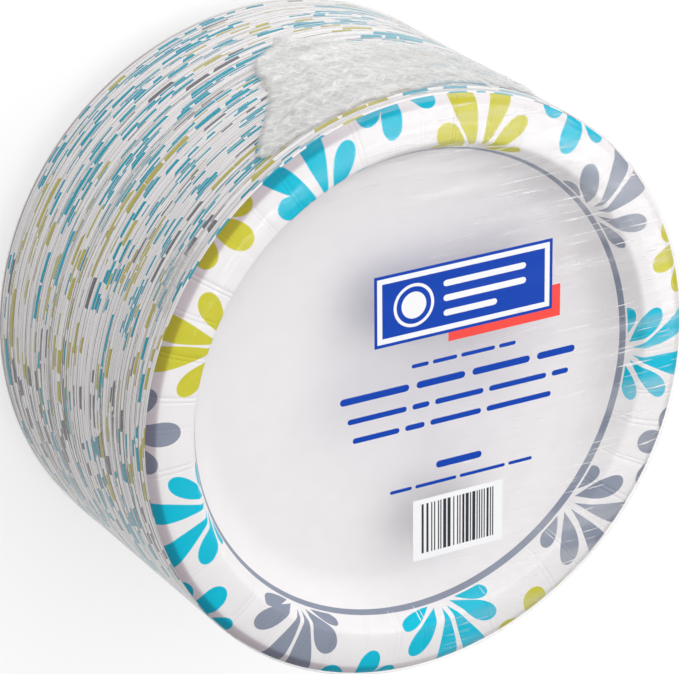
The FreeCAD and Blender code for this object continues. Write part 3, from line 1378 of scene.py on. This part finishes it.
@dataclass
class Studio:
    """A pale floor, soft lamps and the camera that looks down on the dish."""

    target: Point3
    camera_degrees: tuple[float, float] = (138.4, 36.81)
    roll_degrees: float = 124.86
    distance_mm: float = 1397.1
    offset_mm: tuple[float, float] = (-29.04, 18.40)
    focal_mm: float = 209.58
    sensor_mm: float = 36.0
    bright_side: Point3 = (0.184, 0.798, 0.574)
    floor_metres: float = 12.0
    floor_glow: float = 0.62
    room_light: tuple[float, float] = (0.12, 1.04)

    def aim(self) -> Matrix:
        """The camera's axes as columns: right, up and back, worked out from its tilt, azimuth and roll.

        Returns:
            The matrix of the three axes.
        """
        azimuth, tilt = (math.radians(value) for value in self.camera_degrees)
        roll = math.radians(self.roll_degrees)
        back = Vector((math.sin(tilt), 0, math.cos(tilt)))
        level_up = Vector((-math.cos(tilt), 0, math.sin(tilt)))
        level_right = Vector((0, 1, 0))
        right = math.cos(roll) * level_right + math.sin(roll) * level_up
        up = -math.sin(roll) * level_right + math.cos(roll) * level_up
        spin = Matrix.Rotation(azimuth, 3, "Z")
        return Matrix((spin @ right, spin @ up, spin @ back)).transposed()

    def build_camera(self) -> None:
        """Makes the camera and sets it."""
        lens = bpy.data.cameras.new("camera")
        lens.lens = self.focal_mm
        lens.sensor_width = self.sensor_mm
        lens.clip_end = 20
        camera = bpy.data.objects.new("camera", lens)
        axes = self.aim()
        right, up, back = (axes.col[number] for number in range(3))
        eye = Vector(self.target) + back * self.distance_mm
        eye += right * self.offset_mm[0] + up * self.offset_mm[1]
        camera.matrix_world = Matrix.Translation(eye * MM) @ axes.to_4x4()
        bpy.context.scene.collection.objects.link(camera)
        bpy.context.scene.camera = camera

    def build_lamp(
        self, name: str, place: Point3, aim: Point3, size: Point2, watts: float, gloss_only: bool = False
    ) -> None:
        """Makes one soft rectangular lamp.

        Args:
            name: the lamp's name.
            place: its middle, in metres.
            aim: the point it faces, in metres.
            size: its width and height, in metres.
            watts: its power.
            gloss_only: whether it shows only as a reflection.
        """
        light = bpy.data.lights.new(name, "AREA")
        light.shape = "RECTANGLE"
        light.size, light.size_y = size
        light.energy = watts
        lamp = bpy.data.objects.new(name, light)
        lamp.location = place
        lamp.rotation_euler = (Vector(aim) - Vector(place)).to_track_quat("-Z", "Y").to_euler()
        lamp.visible_diffuse = not gloss_only
        bpy.context.scene.collection.objects.link(lamp)

    def build_floor(self) -> None:
        """Makes the floor: matt white, shown near white to the camera, and keeping the stack's shadow."""
        material, tree = start_material("studio_floor")
        path = add_node(tree, "LightPath", out=None).outputs
        feeds = {0: path["Is Camera Ray"], 1: path["Is Glossy Ray"]}
        seen = add_node(tree, "Math", feeds, operation="MAXIMUM")
        feeds = {0: seen, 1: path["Is Transmission Ray"]}
        seen = add_node(tree, "Math", feeds, operation="MAXIMUM")
        lift = add_node(tree, "Math", {0: seen, 1: self.floor_glow}, operation="MULTIPLY")
        matt = add_node(tree, "BsdfDiffuse", {"Color": hex_to_linear("#AEAEAE")})
        glow = add_node(tree, "Emission", {"Strength": lift})
        both = add_node(tree, "AddShader", {0: matt, 1: glow})
        add_node(tree, "OutputMaterial", {"Surface": both}, None)
        mesh = bpy.data.meshes.new("studio_floor")
        half = self.floor_metres / 2
        mesh.from_pydata([(x, y, 0) for x, y in box(-half, -half, half, half)], [], [(0, 1, 2, 3)])
        mesh.materials.append(material)
        floor = bpy.data.objects.new("studio_floor", mesh)
        bpy.context.scene.collection.objects.link(floor)

    def build_world(self) -> None:
        """Makes the world: white where it is seen straight or through transmission, softer where it lights.
        """
        world = bpy.data.worlds.new("studio")
        world.use_nodes = True
        tree = world.node_tree
        tree.nodes.clear()
        path = add_node(tree, "LightPath", out=None).outputs
        feeds = {0: path["Is Camera Ray"], 1: path["Is Transmission Ray"]}
        seen = add_node(tree, "Math", feeds, operation="MAXIMUM")
        feeds = {0: add_node(tree, "TexCoord", out="Generated"), 1: self.bright_side}
        toward = add_node(tree, "VectorMath", feeds, "Value", operation="DOT_PRODUCT")
        dimmest, brightest = self.room_light
        room = add_node(
            tree, "MapRange", {"Value": toward, "From Min": -1.0, "To Min": dimmest, "To Max": brightest}
        )
        strength = add_node(tree, "MapRange", {"Value": seen, "To Min": room, "To Max": 1.0})
        white = add_node(tree, "Background", {"Color": (1, 1, 1, 1), "Strength": strength})
        add_node(tree, "OutputWorld", {"Surface": white}, None)
        bpy.context.scene.world = world

    def build(self) -> None:
        """Sets up the whole studio."""
        bpy.context.scene.view_settings.view_transform = "Standard"
        self.build_camera()
        self.build_floor()
        self.build_world()
        middle = (0.0, 0.0, 0.07)
        self.build_lamp("overhead_softbox", (0.20, 0.40, 1.50), middle, (2.4, 2.2), 6.2)
        self.build_lamp("left_fill", (-1.25, -0.85, 0.50), middle, (1.0, 0.9), 2.2)
        self.build_lamp("top_fill", (0.40, 0.30, 0.55), (0.05, 0.04, 0.13), (0.5, 0.4), 0.8)
        self.build_lamp("near_softbox", (-1.15, 0.45, 0.95), middle, (1.4, 1.0), 0.9)
        for number, (y, watts) in enumerate(((-0.36, 1.2), (-0.24, 2.0))):
            place, below = (0.66, y, 1.24), (0.66, y, 0.0)
            self.build_lamp(f"veil_strip_{number}", place, below, (0.8, 0.07), watts, True)
        self.build_lamp("rim_softbox", (0.84, -0.26, 1.24), (0.06, 0.0, 0.13), (0.42, 0.9), 7.0, True)
        self.build_lamp("side_softbox", (0.45, 1.55, 0.50), middle, (1.4, 0.8), 8.5)


def main() -> None:
    """Builds the sub-assemblies in order and reports each piece."""
    low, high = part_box("plate_top")
    nested_low, nested_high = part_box("plates_nested")
    radius = (high[0] - low[0]) / 2 / MM
    crest = high[2] / MM
    pitch = (high[2] - nested_high[2]) / MM
    count = round((low[2] - nested_low[2]) / MM / pitch) + 1
    depth = (high[2] - low[2]) / MM - PlateSection.board
    section = PlateSection(radius=radius, depth=depth)
    LOG.info("radius %.2f, pitch %.3f, count %d, depth %.2f", radius, pitch, count, depth)
    border = Border(section)

    boards = [
        finish.build()
        for finish in (
            CoatedBoard("coated_board_white", "#E9E6E7", "#E2DFE0"),
            CoatedBoard("coated_board_teal_print", "#00BAD4", "#00B0CA", roughness=0.36),
            CoatedBoard("coated_board_lime_print", "#CAC53A", "#C0BB33", roughness=0.36),
            CoatedBoard("coated_board_grey_print", "#8A91A1", "#838A9A", roughness=0.36),
            CoatedBoard("raw_board_edge", "#BFB9B3", "#ABA59E", roughness=0.85, relief_mm=0.1),
        )
    ]
    # Copies of the board finishes for the nested plates' lips, with painted light and shade: prints darker
    # and duller, white lighter.
    lips = [
        CoatedBoard(name, tint, shade, roughness=roughness, gloss_level=gloss).build()
        for name, tint, shade, roughness, gloss in (
            ("lip_board_white_painted_light", "#F3F0F1", "#ECE9EA", 0.5, 0.05),
            ("lip_teal_print_painted_shade", "#00A5BE", "#0099B2", 0.5, 0.05),
            ("lip_lime_print_painted_shade", "#C2BA5C", "#B4AC52", 0.5, 0.05),
            ("lip_grey_print_painted_shade", "#77777F", "#6C6C75", 0.5, 0.05),
            # Dark as a painted gap shadow between the plates' lips.
            ("painted_gap_shadow_between_lips", "#7B7672", "#6B6662", 0.9, 0.0),
        )
    ]
    skins = [
        finish.build()
        for finish in (
            ShrunkFilm("shrunk_polyolefin_film"),
            FilmInk("blue_film_ink", "#0D43AD", "#0B3DA4"),
            FilmInk("white_film_ink", "#EDEDEF", "#E9E9EB"),
            FilmInk("dark_film_ink", "#3A3B44", "#33343C"),
            FilmInk("red_film_ink", "#F25048", "#EA4A43"),
        )
    ]

    first_floor = nested_low[2] / MM + section.board
    top_floor = crest - depth
    ShowPlate("plate_125_top", "plate_top", section, border, top_floor, 0.0).build(boards)
    ShowPlate("plate_001_bottom", "plates_nested", section, border, first_floor, 1.0, False).build(boards)
    NestedPlates(section, border, first_floor + pitch, pitch, count - 2).build(lips)
    lips_up = section.points[-1][1]
    top_lip, low_lip = top_floor + lips_up, first_floor + lips_up
    wrap = FilmWrap(section, FilmLabel(), crest, top_lip, low_lip, section.floor_radius + 4.0)
    wrap.build(skins)
    crumpled = ShrunkFilm(
        "gathered_polyolefin_film", haze=0.0, hairline_haze=0.0, crumple_mm=1.5, crumple_haze=1.0,
        tint="#F0EFED", gloss_roughness=0.6
    ).build()
    side = ((121.5, -15.0), (110.5, -40.0), (106.0, -67.0), (96.0, -82.0), (86.0, -62.0), (64.0, -56.0),
            (54.0, -30.0), (60.0, -12.0), (88.0, -5.0), (106.0, -5.5), (121.0, -8.0))
    small = ((138.0, -1.5), (140.0, -9.0), (145.0, -15.0), (151.0, -14.0), (156.0, -8.0), (154.0, -1.5))
    reach = section.radius + wrap.stand_off
    FilmGather("film_gather_side", reach, top_lip, side, (76.0, 2.0)).build(crumpled)
    FilmGather(
        "film_gather_small", reach, top_lip, small, (147.0, 4.0), 70, 80,
        soft_edges=(5.0, 4.0), milkiness=0.3,
    ).build(crumpled)
    Studio(target=(0.0, 0.0, top_lip)).build()


if __name__ == "__main__":
    logging.basicConfig(level=logging.INFO, format="%(name)s %(message)s", stream=sys.stdout)
    main()
